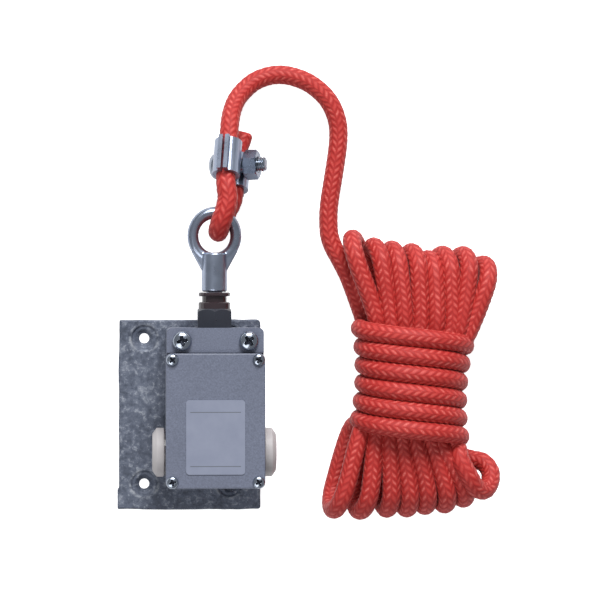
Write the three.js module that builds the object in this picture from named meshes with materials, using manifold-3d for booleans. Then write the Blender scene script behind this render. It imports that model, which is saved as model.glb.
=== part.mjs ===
// Ceiling pull switch on a galvanised mounting plate, with its pull eye, rope clip and folded rope.
// Millimetres, +Z up. The switch lies on its back: the origin is the centre of the plate's back face,
// +Y runs along the pull rod toward the eye, and +X is toward the folded rope.
import * as THREE from 'three';
import { mergeVertices } from 'three/addons/utils/BufferGeometryUtils.js';
import Module from 'manifold-3d';

const wasm = await Module();
wasm.setup();

// Clearances
const fitGap = 0.3;        // round a pin, screw or spigot in its bore
const seatGap = 0.3;       // under a piece that only rests on its seat

// Mounting plate
const plateWidth = 71.2;
const plateHeight = 94.4;
const plateThickness = 4;
const plateCorner = 2;
const plateEdgeNotch = 0.8;       // shallow step along the left edge
const plateFootHeight = 10;       // full-width foot below that step
const plateHolePitchX = 42.4;
const plateHolePitchY = 72.4;
const plateHoleCentre = [-1, 1.8];
const plateHoleRadius = 2.5;
const plateSinkRadius = 4.7;
const plateSpotRadius = 6.4;
const plateSpotDepth = 0.9;

// Housing: a die-cast box with a raised head for the pull rod
const axisX = 12;                 // the switch's centre line
const housingWidth = 47.2;
const housingBottom = -34.2;
const housingTop = 43.4;
const housingCorner = 2.4;
const baseDepth = 33;             // plate to gasket
const headRise = 3;               // the head stands this much prouder than the base
const headLine = 31.4;            // where the cover ends and the head begins
const wall = 3.2;
const floorThickness = 3;
const headWall = 16;              // solid stock above the wiring space
const pillarRadius = 4;

// Cover and gasket
const coverOverhang = 0.55;        // past the housing's sides
const coverDrop = 0.4;            // past its lower end
const coverGap = 0.3;             // between cover and head
const coverThickness = 5;
const coverCorner = 3;
const coverRecess = 2.4;
const coverWall = 5;
const coverEdge = 0.6;
const gasketThickness = 1;
const gasketInset = 0.2;
const coverScrewRadius = 3;
const coverScrewHeadHeight = 2;
const coverScrewShankRadius = 1.5;
const coverScrewLength = 16;
const coverScrewInset = 2.65;      // in from the housing's sides and lower end
const coverScrewDrop = 3.5;       // below the head
const labelWidth = 28.6;
const labelHeight = 36.2;
const labelThickness = 0.4;
const labelCorner = 1.6;
const labelCentreY = -9.6;

// Screws that hold the housing on the plate
const mountScrewInset = 7.4;      // in from the housing's sides
const mountScrewDrop = 6.3;       // below the housing's top
const mountScrewRadius = 2.45;
const mountScrewHeadRadius = 4.7;
const mountScrewHeadHeight = 3.2;
const lockWasherThickness = 1.2;
const lockWasherRadius = 4.4;
const innerScrewMargin = 1.9;     // between its head and the housing's wall
const innerScrewY = 4;
const innerScrewRadius = 2;
const innerScrewHeadRadius = 3.8;
const innerScrewHeadHeight = 2.6;

// Cross recess of a screw, as shares of its head's radius and height
const crossArm = 0.5;
const crossSlot = 0.1;
const crossFloor = 0.35;

// Cable entries and their blanking plugs
const entryY = -17.9;
const entryHeight = 20;           // centre above the plate's back
const entryRadius = 10.1;
const entryBossRadius = 12.6;
const entryBossLength = 3.4;
const plugRadius = 12;
const plugLength = 5.8;
const plugChamfer = 1.9;
const plugChamferRadius = 9.2;
const plugSlotWidth = 2.4;
const plugSlotDepth = 1.6;
const plugSpigotLength = 7;
const plugWall = 2;
const sealThickness = 1;
const sealRadius = 11.3;

// Pull rod, its guide bush and its return spring
const rodHeight = 24;             // axis above the plate's back
const rodRadius = 4;
const rodEnd = 3;                 // lower end, in the wiring space
const bushSpigotRadius = 7;
const bushSpigotLength = 8;
const bushFlats = 16.4;
const bushHexHeight = 7.7;
const bushChamfer = 1.6;
const wiperRadius = 7.7;
const wiperNeckRadius = 6;
const wiperLipHeight = 3.3;
const wiperNeckHeight = 2.8;
const wiperTopHeight = 1.9;
const springWire = 1.6;
const springMeanRadius = 6.1;
const springTurns = 6;
const springChamberRadius = 8.2;
const springSeatRadius = 8;
const springSeatThickness = 3;
const springSeatY = 9;
const clipRingRadius = 6;
const clipRingThickness = 1;
const pullTravel = 5;

// Pull eye
const eyeShankRadius = 6.25;
const eyeShankLength = 19.2;
const eyeBevel = 0.8;
const eyeStandOff = 0.3;          // shank above the wiper lip, its rest stop
const eyeRingRadius = 10.55;      // to the middle of the wire
const eyeWireRadius = 2.8;
const eyeRingStretch = 1.07;      // the ring is a little longer than it is wide
const eyeShoulder = 8.4;          // length of the flared shoulder
const eyeSpread = 0.84;           // its width at the ring, as a share of the ring's
const eyeSocketDepth = 10;

// Contact block
const blockWidth = 20.6;
const blockBottom = -30;
const blockTop = -3;
const blockLand = 2;              // of block in front of the tappet's bore
const blockWall = 3;
const tappetRadius = 3;
const tappetHeadRadius = 5;
const tappetHeadThickness = 2;
const bridgeY = -17;
const bridgeThickness = 1;
const bridgeWidth = 7;
const contactGap = 0.4;           // between a button and the bridge at either end of the travel
const terminalThickness = 1;
const terminalWidth = 6;
const contactButtonRadius = 1.6;
const contactButtonHeight = 1;
const terminalMargin = 0.7;       // between a tab's end and the boss of the cable entry
const terminalScrewMargin = 0.4;  // between a screw's head and the end of its tab
const terminalScrewHeight = 2;
const tappetSpringWire = 0.8;
const tappetSpringRadius = 3.4;
const tappetSpringTurns = 4;
const earthScrewRadius = 3.4;
const earthScrewY = 16;

// Rope and rope clip
const ropeRadius = 4.2;
const ropeSides = 8;
const ropeSteps = 64;
const clipCentre = [20.6, 123.2, 19];
const clipTurn = { pitch: -22, roll: -18, yaw: -5 };
const clipLength = 18;
const clipPlateThickness = 2;
const clipPlateGap = 1.2;
const clipGrooveClearance = 0.6;
const strandSpacing = 17.2;
const clipLip = 2.2;
const clipBoltRadius = 3.8;
const clipBoltHeadRadius = 6.5;
const clipBoltHeadHeight = 3.8;
const clipBoltReach = 17.6;
const clipNutFlats = 13;
const clipNutHeight = 6.6;

// Folded rope
const hankWidth = 90;
const hankLength = 146;
const hankThickness = 33;
const hankWaistHeight = 47;
const hankWaistWidth = 60;
const hankWaistLength = 58;
const hankWaistCentre = [109.2, 16];
const hankTilt = -8;              // slope of the wraps, in degrees
const hankRoundEdge = 4;

const clipGrooveIn = ropeRadius + clipGrooveClearance;
const clipGrooveOut = clipGrooveIn + clipPlateThickness;

const housingLeft = axisX - housingWidth / 2;
const baseTop = plateThickness + baseDepth;
const headTop = baseTop + headRise;
const cavityTop = housingTop - headWall;
const cavityFloor = plateThickness + floorThickness;
const cavityWidth = housingWidth - 2 * wall;
const coverWidth = housingWidth + 2 * coverOverhang;
const coverBottom = housingBottom - coverDrop;
const coverTop = headLine - coverGap;
const coverBack = baseTop + gasketThickness;
const coverFront = coverBack + coverThickness;
const bushHexTop = housingTop + bushHexHeight + bushChamfer;
const wiperTop = bushHexTop + wiperLipHeight + wiperNeckHeight + wiperTopHeight;
const eyeBottom = wiperTop + eyeStandOff;
const eyeShankTop = eyeBottom + eyeShankLength;
const eyeRingY = eyeShankTop + (eyeRingRadius - eyeWireRadius) * eyeRingStretch;
const coverScrewSpots = [-1, 1].flatMap((sideX) => [
  [axisX + sideX * (housingWidth / 2 - coverScrewInset), headLine - coverScrewDrop],
  [axisX + sideX * (housingWidth / 2 - coverScrewInset), housingBottom + coverScrewInset],
]);
const mountScrewPitch = housingWidth - 2 * mountScrewInset;
const mountScrewY = housingTop - mountScrewDrop;
const innerScrewPitch = cavityWidth - 2 * (innerScrewHeadRadius + innerScrewMargin);
const blockDepth = rodHeight + tappetRadius + fitGap + blockLand - cavityFloor - seatGap;
const terminalTab = (cavityWidth - blockWidth) / 2 - entryBossLength - terminalMargin;
const terminalScrewRadius = terminalTab / 2 - terminalScrewMargin;
const terminalScrewShank = terminalScrewRadius * 0.54;

const metal = (color, roughness) => new THREE.MeshStandardMaterial({ color, roughness, metalness: 0.9 });
const plain = (color, roughness) => new THREE.MeshStandardMaterial({ color, roughness, metalness: 0 });
const galvanised = () => metal(0x8f8d88, 0.6);
const casting = () => plain(0x8d959d, 0.6);
const zinc = () => metal(0xb9bcc0, 0.35);
const blackPlastic = () => plain(0x1c1d1f, 0.4);
const rubber = () => plain(0x202022, 0.8);
const cream = () => plain(0xe2e0d6, 0.5);
const brass = () => metal(0xc09a4a, 0.35);
const blockPlastic = () => plain(0xc9c6ba, 0.6);
const redRope = () => plain(0xb3232b, 0.9);

const pullSwitch = new THREE.Group();
pullSwitch.name = 'ceiling_pull_switch';

// A closed body from any geometry: shared corners merged, slivers dropped, faces turned outward.
function closed(geometry) {
  const bare = geometry.clone();
  bare.deleteAttribute('normal');
  bare.deleteAttribute('uv');
  const merged = mergeVertices(bare, 1e-4);
  const corner = (i) => new THREE.Vector3().fromBufferAttribute(merged.attributes.position, i);
  const faces = [];
  let volume = 0;
  for (let i = 0; i < merged.index.count; i += 3) {
    const [a, b, c] = [0, 1, 2].map((k) => merged.index.getX(i + k));
    if (a === b || b === c || c === a) continue;
    faces.push([a, b, c]);
    volume += corner(a).dot(corner(b).cross(corner(c)));
  }
  merged.setIndex(faces.flatMap(([a, b, c]) => (volume < 0 ? [a, c, b] : [a, b, c])));
  return merged;
}

function solid(geometry) {
  const body = closed(geometry);
  return new wasm.Manifold(new wasm.Mesh({
    numProp: 3,
    vertProperties: new Float32Array(body.attributes.position.array),
    triVerts: new Uint32Array(body.index.array),
  }));
}

function geometryOf(manifold) {
  const { vertProperties, triVerts } = manifold.getMesh();
  const geometry = new THREE.BufferGeometry();
  geometry.setAttribute('position', new THREE.BufferAttribute(new Float32Array(vertProperties), 3));
  geometry.setIndex(new THREE.BufferAttribute(new Uint32Array(triVerts), 1));
  return geometry;
}

const join = (first, ...rest) => rest.reduce((sum, next) => sum.add(next), first);
const cut = (first, ...rest) => rest.reduce((left, next) => left.subtract(next), first);

function add(name, shape, material, parent = pullSwitch) {
  const geometry = closed(shape.isBufferGeometry ? shape : geometryOf(shape));
  geometry.computeVertexNormals();
  const mesh = new THREE.Mesh(geometry, material);
  mesh.name = name;
  parent.add(mesh);
  return mesh;
}

function box(minX, maxX, minY, maxY, minZ, maxZ) {
  return new THREE.BoxGeometry(maxX - minX, maxY - minY, maxZ - minZ)
    .translate((minX + maxX) / 2, (minY + maxY) / 2, (minZ + maxZ) / 2);
}

// A turned piece: the profile is [radius, height] pairs, closed on the axis, standing on +Y.
function turned(profile, segments = 24) {
  return new THREE.LatheGeometry(profile.map(([r, h]) => new THREE.Vector2(r, h)), segments);
}

const alongY = (geometry, x, y, z) => geometry.translate(x, y, z);
const alongZ = (geometry, x, y, z) => geometry.rotateX(Math.PI / 2).translate(x, y, z);
const alongX = (geometry, x, y, z) => geometry.rotateZ(-Math.PI / 2).translate(x, y, z);

const rod = (radius, length, segments = 24) =>
  turned([[0, 0], [radius, 0], [radius, length], [0, length]], segments);

const tube = (inner, outer, length, segments = 24) =>
  turned([[inner, 0], [outer, 0], [outer, length], [inner, length], [inner, 0]], segments);

function roundedOutline(minX, maxX, minY, maxY, radius) {
  const outline = new THREE.Shape();
  outline.moveTo(minX + radius, minY);
  outline.lineTo(maxX - radius, minY);
  outline.absarc(maxX - radius, minY + radius, radius, -Math.PI / 2, 0);
  outline.lineTo(maxX, maxY - radius);
  outline.absarc(maxX - radius, maxY - radius, radius, 0, Math.PI / 2);
  outline.lineTo(minX + radius, maxY);
  outline.absarc(minX + radius, maxY - radius, radius, Math.PI / 2, Math.PI);
  outline.lineTo(minX, minY + radius);
  outline.absarc(minX + radius, minY + radius, radius, Math.PI, 1.5 * Math.PI);
  return outline;
}

function extruded(outline, bottom, top, curveSegments = 4) {
  return new THREE.ExtrudeGeometry(outline, { depth: top - bottom, bevelEnabled: false, curveSegments })
    .translate(0, 0, bottom);
}

// A screw with a domed head, standing on +Z with its seat at z = 0.
function panScrew(headRadius, headHeight, shankRadius, shankLength, segments = 12) {
  return alongZ(turned([
    [0, -shankLength], [shankRadius, -shankLength], [shankRadius, 0], [headRadius, 0],
    [headRadius, headHeight * 0.4], [headRadius * 0.8, headHeight * 0.8], [0, headHeight],
  ], segments), 0, 0, 0);
}

function crossScrew(headRadius, headHeight, shankRadius, shankLength) {
  const head = solid(panScrew(headRadius, headHeight, shankRadius, shankLength, 20));
  const arm = headRadius * crossArm;
  const slot = headRadius * crossSlot;
  const sunk = headHeight * crossFloor;
  return cut(
    head,
    solid(box(-arm, arm, -slot, slot, sunk, headHeight * 2)),
    solid(box(-slot, slot, -arm, arm, sunk, headHeight * 2)),
  );
}

function hexOutline(flats) {
  const outline = new THREE.Shape();
  for (let corner = 0; corner < 6; corner += 1) {
    const angle = (corner * Math.PI) / 3;
    const reach = flats / Math.sqrt(3);
    outline[corner ? 'lineTo' : 'moveTo'](reach * Math.cos(angle), reach * Math.sin(angle));
  }
  outline.closePath();
  return outline;
}

function mountingPlate() {
  const [left, right] = [-plateWidth / 2, plateWidth / 2];
  const [bottom, top] = [-plateHeight / 2, plateHeight / 2];
  const stepY = bottom + plateFootHeight;
  const outline = new THREE.Shape();
  outline.moveTo(left, bottom);
  outline.lineTo(right - plateCorner / 2, bottom);
  outline.absarc(right - plateCorner / 2, bottom + plateCorner / 2, plateCorner / 2, -Math.PI / 2, 0);
  outline.lineTo(right, top - plateCorner);
  outline.absarc(right - plateCorner, top - plateCorner, plateCorner, 0, Math.PI / 2);
  outline.lineTo(left + plateEdgeNotch, top);
  outline.lineTo(left + plateEdgeNotch, stepY + plateEdgeNotch);
  outline.lineTo(left, stepY);
  const sink = [
    [0, -1], [plateHoleRadius, -1], [plateHoleRadius, plateThickness / 4],
    [plateSinkRadius, plateThickness - plateSpotDepth], [plateSpotRadius, plateThickness - plateSpotDepth],
    [plateSpotRadius, plateThickness + 1], [0, plateThickness + 1],
  ];
  let plate = solid(extruded(outline, 0, plateThickness));
  for (const sideX of [-0.5, 0.5]) {
    for (const sideY of [-0.5, 0.5]) {
      const x = plateHoleCentre[0] + sideX * plateHolePitchX;
      const y = plateHoleCentre[1] + sideY * plateHolePitchY;
      plate = cut(plate, solid(alongZ(turned(sink, 20), x, y, 0)));
    }
    const through = plateThickness + 2;
    const screwHole = rod(mountScrewRadius + fitGap, through, 12);
    const innerHole = rod(innerScrewRadius + fitGap, through, 12);
    plate = cut(
      plate,
      solid(alongZ(screwHole, axisX + sideX * mountScrewPitch, mountScrewY, -1)),
      solid(alongZ(innerHole, axisX + sideX * innerScrewPitch, innerScrewY, -1)),
    );
  }
  return plate;
}

function cavityOutline(inset = 0) {
  const halfWidth = cavityWidth / 2 - inset;
  return roundedOutline(
    axisX - halfWidth, axisX + halfWidth, housingBottom + wall + inset, cavityTop - inset, housingCorner,
  );
}

function pillars(radius, bottom, top) {
  return coverScrewSpots.map(([x, y]) => solid(alongZ(rod(radius, top - bottom, 12), x, y, bottom)));
}

function housingBody() {
  const outline = roundedOutline(
    housingLeft, housingLeft + housingWidth, housingBottom, housingTop, housingCorner,
  );
  const rebate = box(
    housingLeft - 1, housingLeft + housingWidth + 1, housingBottom - 1, headLine, baseTop, headTop + 1,
  );
  const wiringSpace = cut(
    solid(extruded(cavityOutline(), cavityFloor, headTop + 1)),
    ...pillars(pillarRadius, 0, headTop + 2),
  );
  let body = cut(solid(extruded(outline, plateThickness, headTop)), wiringSpace, solid(rebate));
  for (const side of [-1, 1]) {
    const innerFace = axisX + side * (housingWidth / 2 - wall);
    const bossStart = side < 0 ? innerFace - 0.5 : innerFace - entryBossLength;
    body = body.add(solid(alongX(
      rod(entryBossRadius, entryBossLength + 0.5, 28), bossStart, entryY, entryHeight,
    )).intersect(solid(box(
      housingLeft, housingLeft + housingWidth, housingBottom, cavityTop, plateThickness, baseTop,
    ))));
  }
  for (const side of [-1, 1]) {
    const start = side < 0 ? housingLeft - 1 : axisX + housingWidth / 2 - wall - entryBossLength - 1;
    body = cut(
      body,
      solid(alongX(rod(entryRadius, wall + entryBossLength + 2, 28), start, entryY, entryHeight)),
      solid(alongZ(
        rod(mountScrewRadius + fitGap, headTop, 12), axisX + side * mountScrewPitch / 2, mountScrewY, 0,
      )),
      solid(alongZ(
        rod(innerScrewRadius + fitGap, cavityFloor + 1, 12),
        axisX + side * innerScrewPitch / 2, innerScrewY, 0,
      )),
    );
  }
  const chamberTop = housingTop - bushSpigotLength;
  body = cut(
    body,
    solid(alongY(rod(springChamberRadius, chamberTop - cavityTop + 1), axisX, cavityTop - 1, rodHeight)),
    solid(alongY(rod(bushSpigotRadius + fitGap, bushSpigotLength + 2), axisX, chamberTop - 1, rodHeight)),
    ...pillars(coverScrewShankRadius + fitGap, baseTop - coverScrewLength, headTop + 1),
    solid(alongZ(
      rod(innerScrewRadius + fitGap, floorThickness, 12),
      axisX + innerScrewPitch / 2, earthScrewY, plateThickness + 0.4,
    )),
  );
  return body;
}

function coverGasket() {
  const outer = roundedOutline(
    housingLeft + gasketInset, housingLeft + housingWidth - gasketInset,
    housingBottom + gasketInset, headLine - gasketInset - seatGap, housingCorner,
  );
  const hollow = cut(
    solid(extruded(cavityOutline(), baseTop - 1, coverBack + 1)),
    ...pillars(pillarRadius, baseTop - 2, coverBack + 2),
  );
  return cut(
    solid(extruded(outer, baseTop, coverBack)),
    hollow,
    ...pillars(coverScrewShankRadius + fitGap, baseTop - 1, coverBack + 1),
  );
}

function cover() {
  const outline = roundedOutline(
    axisX - coverWidth / 2 + coverEdge, axisX + coverWidth / 2 - coverEdge,
    coverBottom + coverEdge, coverTop - coverEdge, coverCorner - coverEdge,
  );
  const lid = new THREE.ExtrudeGeometry(outline, {
    depth: coverThickness - 2 * coverEdge,
    bevelThickness: coverEdge,
    bevelSize: coverEdge,
    bevelSegments: 2,
    curveSegments: 4,
  }).translate(0, 0, coverBack + coverEdge);
  const halfWidth = coverWidth / 2 - coverWall;
  const recess = extruded(
    roundedOutline(
      axisX - halfWidth, axisX + halfWidth, coverBottom + coverWall + pillarRadius,
      coverTop - coverWall - pillarRadius, coverCorner,
    ),
    coverBack - 1, coverBack + coverRecess,
  );
  return cut(
    solid(lid), solid(recess), ...pillars(coverScrewShankRadius + fitGap, coverBack - 1, coverFront + 1),
  );
}

function guideBush() {
  const hexEnd = housingTop + bushHexHeight + bushChamfer;
  const hexLength = hexEnd - housingTop;
  const hex = solid(new THREE.ExtrudeGeometry(hexOutline(bushFlats), { depth: hexLength, bevelEnabled: false })
    .rotateX(-Math.PI / 2).rotateY(Math.PI / 6).translate(axisX, housingTop, rodHeight));
  const corner = bushFlats / Math.sqrt(3);
  const dome = turned([
    [0, 0], [corner + 0.1, 0], [corner + 0.1, hexLength - bushChamfer],
    [corner - bushChamfer, hexLength], [0, hexLength],
  ], 30);
  const spigot = rod(bushSpigotRadius, bushSpigotLength + 1);
  return cut(
    join(
      hex.intersect(solid(alongY(dome, axisX, housingTop, rodHeight))),
      solid(alongY(spigot, axisX, housingTop - bushSpigotLength, rodHeight)),
    ),
    solid(alongY(
      rod(rodRadius + fitGap, hexLength + bushSpigotLength + 2),
      axisX, housingTop - bushSpigotLength - 1, rodHeight,
    )),
  );
}

function wiperSeal() {
  const lip = wiperLipHeight;
  const neck = lip + wiperNeckHeight;
  const top = neck + wiperTopHeight;
  const bore = rodRadius + fitGap;
  return alongY(turned([
    [bore, 0], [wiperRadius, 0], [wiperRadius, lip - 0.5], [wiperRadius - 0.5, lip],
    [wiperNeckRadius, lip], [wiperNeckRadius, neck], [wiperRadius - 0.4, neck],
    [wiperRadius, neck + 0.4], [wiperRadius, top - 0.4], [wiperRadius - 0.4, top], [bore, top], [bore, 0],
  ]), axisX, bushHexTop, rodHeight);
}

class Helix extends THREE.Curve {
  constructor(radius, height, turns) {
    super();
    Object.assign(this, { radius, height, turns });
  }

  getPoint(t, target = new THREE.Vector3()) {
    const angle = t * this.turns * 2 * Math.PI;
    return target.set(this.radius * Math.cos(angle), this.height * t, this.radius * Math.sin(angle));
  }
}

function circle(radius, sides) {
  const outline = new THREE.Shape();
  for (let side = 0; side < sides; side += 1) {
    const angle = (side * 2 * Math.PI) / sides;
    outline[side ? 'lineTo' : 'moveTo'](radius * Math.cos(angle), radius * Math.sin(angle));
  }
  outline.closePath();
  return outline;
}

function coilSpring(wire, meanRadius, turns, bottom, top, z) {
  const path = new Helix(meanRadius, top - bottom - wire, turns);
  return new THREE.ExtrudeGeometry(circle(wire / 2, 5), {
    steps: Math.round(turns * 9), extrudePath: path, bevelEnabled: false,
  }).translate(axisX, bottom + wire / 2, z);
}

function pullRod() {
  const top = eyeBottom + eyeSocketDepth - seatGap;
  const ringY = springSeatY - clipRingThickness;
  const groove = rodRadius - 0.8;
  return alongY(turned([
    [0, rodEnd], [rodRadius - 0.8, rodEnd], [rodRadius, rodEnd + 0.8],
    [rodRadius, ringY - fitGap], [groove, ringY - fitGap], [groove, springSeatY - fitGap / 2],
    [rodRadius, springSeatY - fitGap / 2], [rodRadius, top], [0, top],
  ]), axisX, 0, rodHeight);
}

function clipRing() {
  const inner = rodRadius - 0.5;
  const ring = solid(alongY(
    tube(inner, clipRingRadius, clipRingThickness - fitGap), axisX, springSeatY - clipRingThickness, rodHeight,
  ));
  const mouth = box(
    axisX - inner * 0.8, axisX + inner * 0.8, springSeatY - 2, springSeatY + 1, rodHeight,
    rodHeight + clipRingRadius + 1,
  );
  return cut(ring, solid(mouth));
}

function pullEye() {
  const shank = solid(alongY(turned([
    [0, 0], [eyeShankRadius - eyeBevel, 0], [eyeShankRadius, eyeBevel],
    [eyeShankRadius, eyeShankLength - eyeBevel], [eyeShankRadius - eyeBevel, eyeShankLength],
    [0, eyeShankLength],
  ]), axisX, eyeBottom, rodHeight));
  const ring = solid(new THREE.TorusGeometry(eyeRingRadius, eyeWireRadius, 10, 40)
    .scale(1, eyeRingStretch, 1).translate(axisX, eyeRingY, rodHeight));
  const spread = (eyeRingRadius + eyeWireRadius) * eyeSpread;
  const shoulder = new THREE.Shape();
  shoulder.moveTo(-eyeShankRadius, -eyeShoulder);
  shoulder.lineTo(eyeShankRadius, -eyeShoulder);
  shoulder.lineTo(spread, 0);
  shoulder.lineTo(eyeRingRadius, eyeWireRadius);
  shoulder.lineTo(-eyeRingRadius, eyeWireRadius);
  shoulder.lineTo(-spread, 0);
  const half = eyeWireRadius - eyeBevel;
  const flare = solid(new THREE.ExtrudeGeometry(shoulder, {
    depth: 2 * half, bevelThickness: eyeBevel, bevelSize: eyeBevel, bevelOffset: -eyeBevel, bevelSegments: 2,
  }).translate(axisX, eyeShankTop + eyeBevel, rodHeight - half));
  const hole = solid(alongZ(rod(eyeRingRadius - eyeWireRadius, 40, 44), 0, 0, 0)
    .scale(1, eyeRingStretch, 1).translate(axisX, eyeRingY, rodHeight - 20));
  const socket = solid(alongY(rod(rodRadius + fitGap, eyeSocketDepth + 1, 24), axisX, eyeBottom - 1, rodHeight));
  return cut(join(cut(join(shank, flare), hole), ring), socket);
}

// The side of the block toward a terminal is -1 or +1, and its row is 0 (rest) or 1 (pulled).
const terminalRows = [
  bridgeY - contactGap,
  bridgeY + bridgeThickness + pullTravel + contactGap,
];

function contactBlock() {
  const [left, right] = [axisX - blockWidth / 2, axisX + blockWidth / 2];
  const [back, front] = [cavityFloor + seatGap, cavityFloor + seatGap + blockDepth];
  const inside = {
    left: left + blockWall, right: right - blockWall, bottom: blockBottom + blockWall, top: blockTop - blockWall,
  };
  const passage = tappetRadius + fitGap;
  let block = cut(
    solid(box(left, right, blockBottom, blockTop, back, front)),
    solid(box(inside.left, inside.right, inside.bottom, inside.top, back + blockWall, front + 1)),
    solid(alongY(rod(passage, blockWall + 2, 24), axisX, inside.top - 1, rodHeight)),
    solid(alongY(rod(passage, blockWall + 1, 24), axisX, blockBottom + 1, rodHeight)),
  );
  for (const [row, y] of terminalRows.entries()) {
    const low = row ? y + contactButtonHeight : y - contactButtonHeight - terminalThickness;
    for (const side of [-1, 1]) {
      const wallX = side < 0 ? left - 1 : inside.right - 1;
      block = cut(block, solid(box(
        wallX, wallX + blockWall + 2, low - fitGap / 2, low + terminalThickness + fitGap / 2,
        rodHeight - terminalWidth / 2 - fitGap, front + 1,
      )));
    }
  }
  return block;
}

// A strip through the block's side wall, with a contact button inside and a tab for the wire outside.
function terminal(side, row) {
  const y = terminalRows[row];
  const low = row ? y + contactButtonHeight : y - contactButtonHeight - terminalThickness;
  const inner = axisX + side * (tappetRadius + 1);
  const outer = axisX + side * (blockWidth / 2 + terminalTab);
  const buttonX = axisX + side * (tappetRadius + 1 + contactButtonRadius);
  const strip = solid(box(
    Math.min(inner, outer), Math.max(inner, outer), low, low + terminalThickness,
    rodHeight - terminalWidth / 2, rodHeight + terminalWidth / 2,
  ));
  const buttonY = row ? y : y - contactButtonHeight;
  const screwX = axisX + side * (blockWidth / 2 + terminalTab / 2);
  return cut(
    join(strip, solid(alongY(rod(contactButtonRadius, contactButtonHeight, 10), buttonX, buttonY, rodHeight))),
    solid(alongY(rod(terminalScrewShank + fitGap, 4, 10), screwX, low - 1, rodHeight)),
  );
}

function tappet() {
  const top = rodEnd - seatGap - tappetHeadThickness;
  return alongY(turned([
    [0, blockBottom + 2], [tappetRadius - 1, blockBottom + 2], [tappetRadius - 1, bridgeY - seatGap],
    [tappetRadius, bridgeY - seatGap], [tappetRadius, bridgeY - 0.1], [tappetRadius - 1.2, bridgeY - 0.1],
    [tappetRadius - 1.2, bridgeY + bridgeThickness + 0.1], [tappetRadius, bridgeY + bridgeThickness + 0.1],
    [tappetRadius, top], [tappetHeadRadius, top], [tappetHeadRadius, top + tappetHeadThickness],
    [0, top + tappetHeadThickness],
  ], 24), axisX, 0, rodHeight);
}

function contactBridge() {
  const reach = tappetRadius + 1 + 2 * contactButtonRadius;
  return cut(
    solid(box(
      axisX - reach, axisX + reach, bridgeY, bridgeY + bridgeThickness,
      rodHeight - bridgeWidth / 2, rodHeight + bridgeWidth / 2,
    )),
    solid(alongY(rod(tappetRadius - 0.9, 4, 20), axisX, bridgeY - 1, rodHeight)),
  );
}

// The rope's route: the short dead end, down through the clip to the eye, round its ring, and back.
const stubRoute = [[27.5, 140.5, 4.5], [26.6, 136.9, 5], [25.4, 134, 5.8]];
const eyeRoute = [
  [21.2, 105.4, 15.3], [18.8, 100.5, 14.9], [16.3, 95.3, 16.4], [14.7, 91.7, 19.7], [13.9, 90.4, 24.2],
  [13.9, 91.5, 29], [15, 95.3, 32.2], [16.9, 100.7, 33.4], [18.2, 106.6, 33.1], [17.6, 112, 32.6],
];
const archRoute = [
  [20, 145.6, 18.6], [21.3, 151.2, 14.4], [23.7, 156.7, 10.6], [27.5, 161.4, 7.6], [32.3, 165.5, 5.7],
  [37.4, 167.9, 4.8], [42.9, 169.1, 4.5], [48.3, 169, 4.5], [53.8, 167.7, 4.5], [59.3, 165.4, 4.5],
  [64.6, 161.7, 4.5], [69.1, 157, 4.5], [72.3, 151.3, 4.5], [74.2, 144.8, 4.5], [74.5, 137.8, 4.5],
  [73.8, 130.3, 4.5], [72.7, 122.9, 4.5], [71.5, 115.4, 4.5], [70.3, 107.9, 4.5], [69.6, 101.4, 4.5],
  [69.5, 96.4, 4.5], [69.8, 93.4, 4.5],
];

const clipRotation = new THREE.Euler(
  THREE.MathUtils.degToRad(clipTurn.pitch), THREE.MathUtils.degToRad(clipTurn.roll),
  THREE.MathUtils.degToRad(clipTurn.yaw), 'ZXY',
);

// The stretch of a strand inside the clip: side is +1 for the front strand and -1 for the back one.
function clipStrand(side, upward) {
  return [-0.62, -0.31, 0, 0.31, 0.62].map((share) => new THREE.Vector3(
    0, (upward ? share : -share) * clipLength, side * strandSpacing / 2,
  ).applyEuler(clipRotation).add(new THREE.Vector3(...clipCentre)));
}

function ropeLead() {
  const points = [
    ...stubRoute.map((point) => new THREE.Vector3(...point)),
    ...clipStrand(-1, false),
    ...eyeRoute.map((point) => new THREE.Vector3(...point)),
    ...clipStrand(1, true),
    ...archRoute.map((point) => new THREE.Vector3(...point)),
  ];
  return new THREE.ExtrudeGeometry(circle(ropeRadius, ropeSides), {
    steps: ropeSteps,
    extrudePath: new THREE.CatmullRomCurve3(points, false, 'centripetal'),
    bevelEnabled: false,
  });
}

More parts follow.
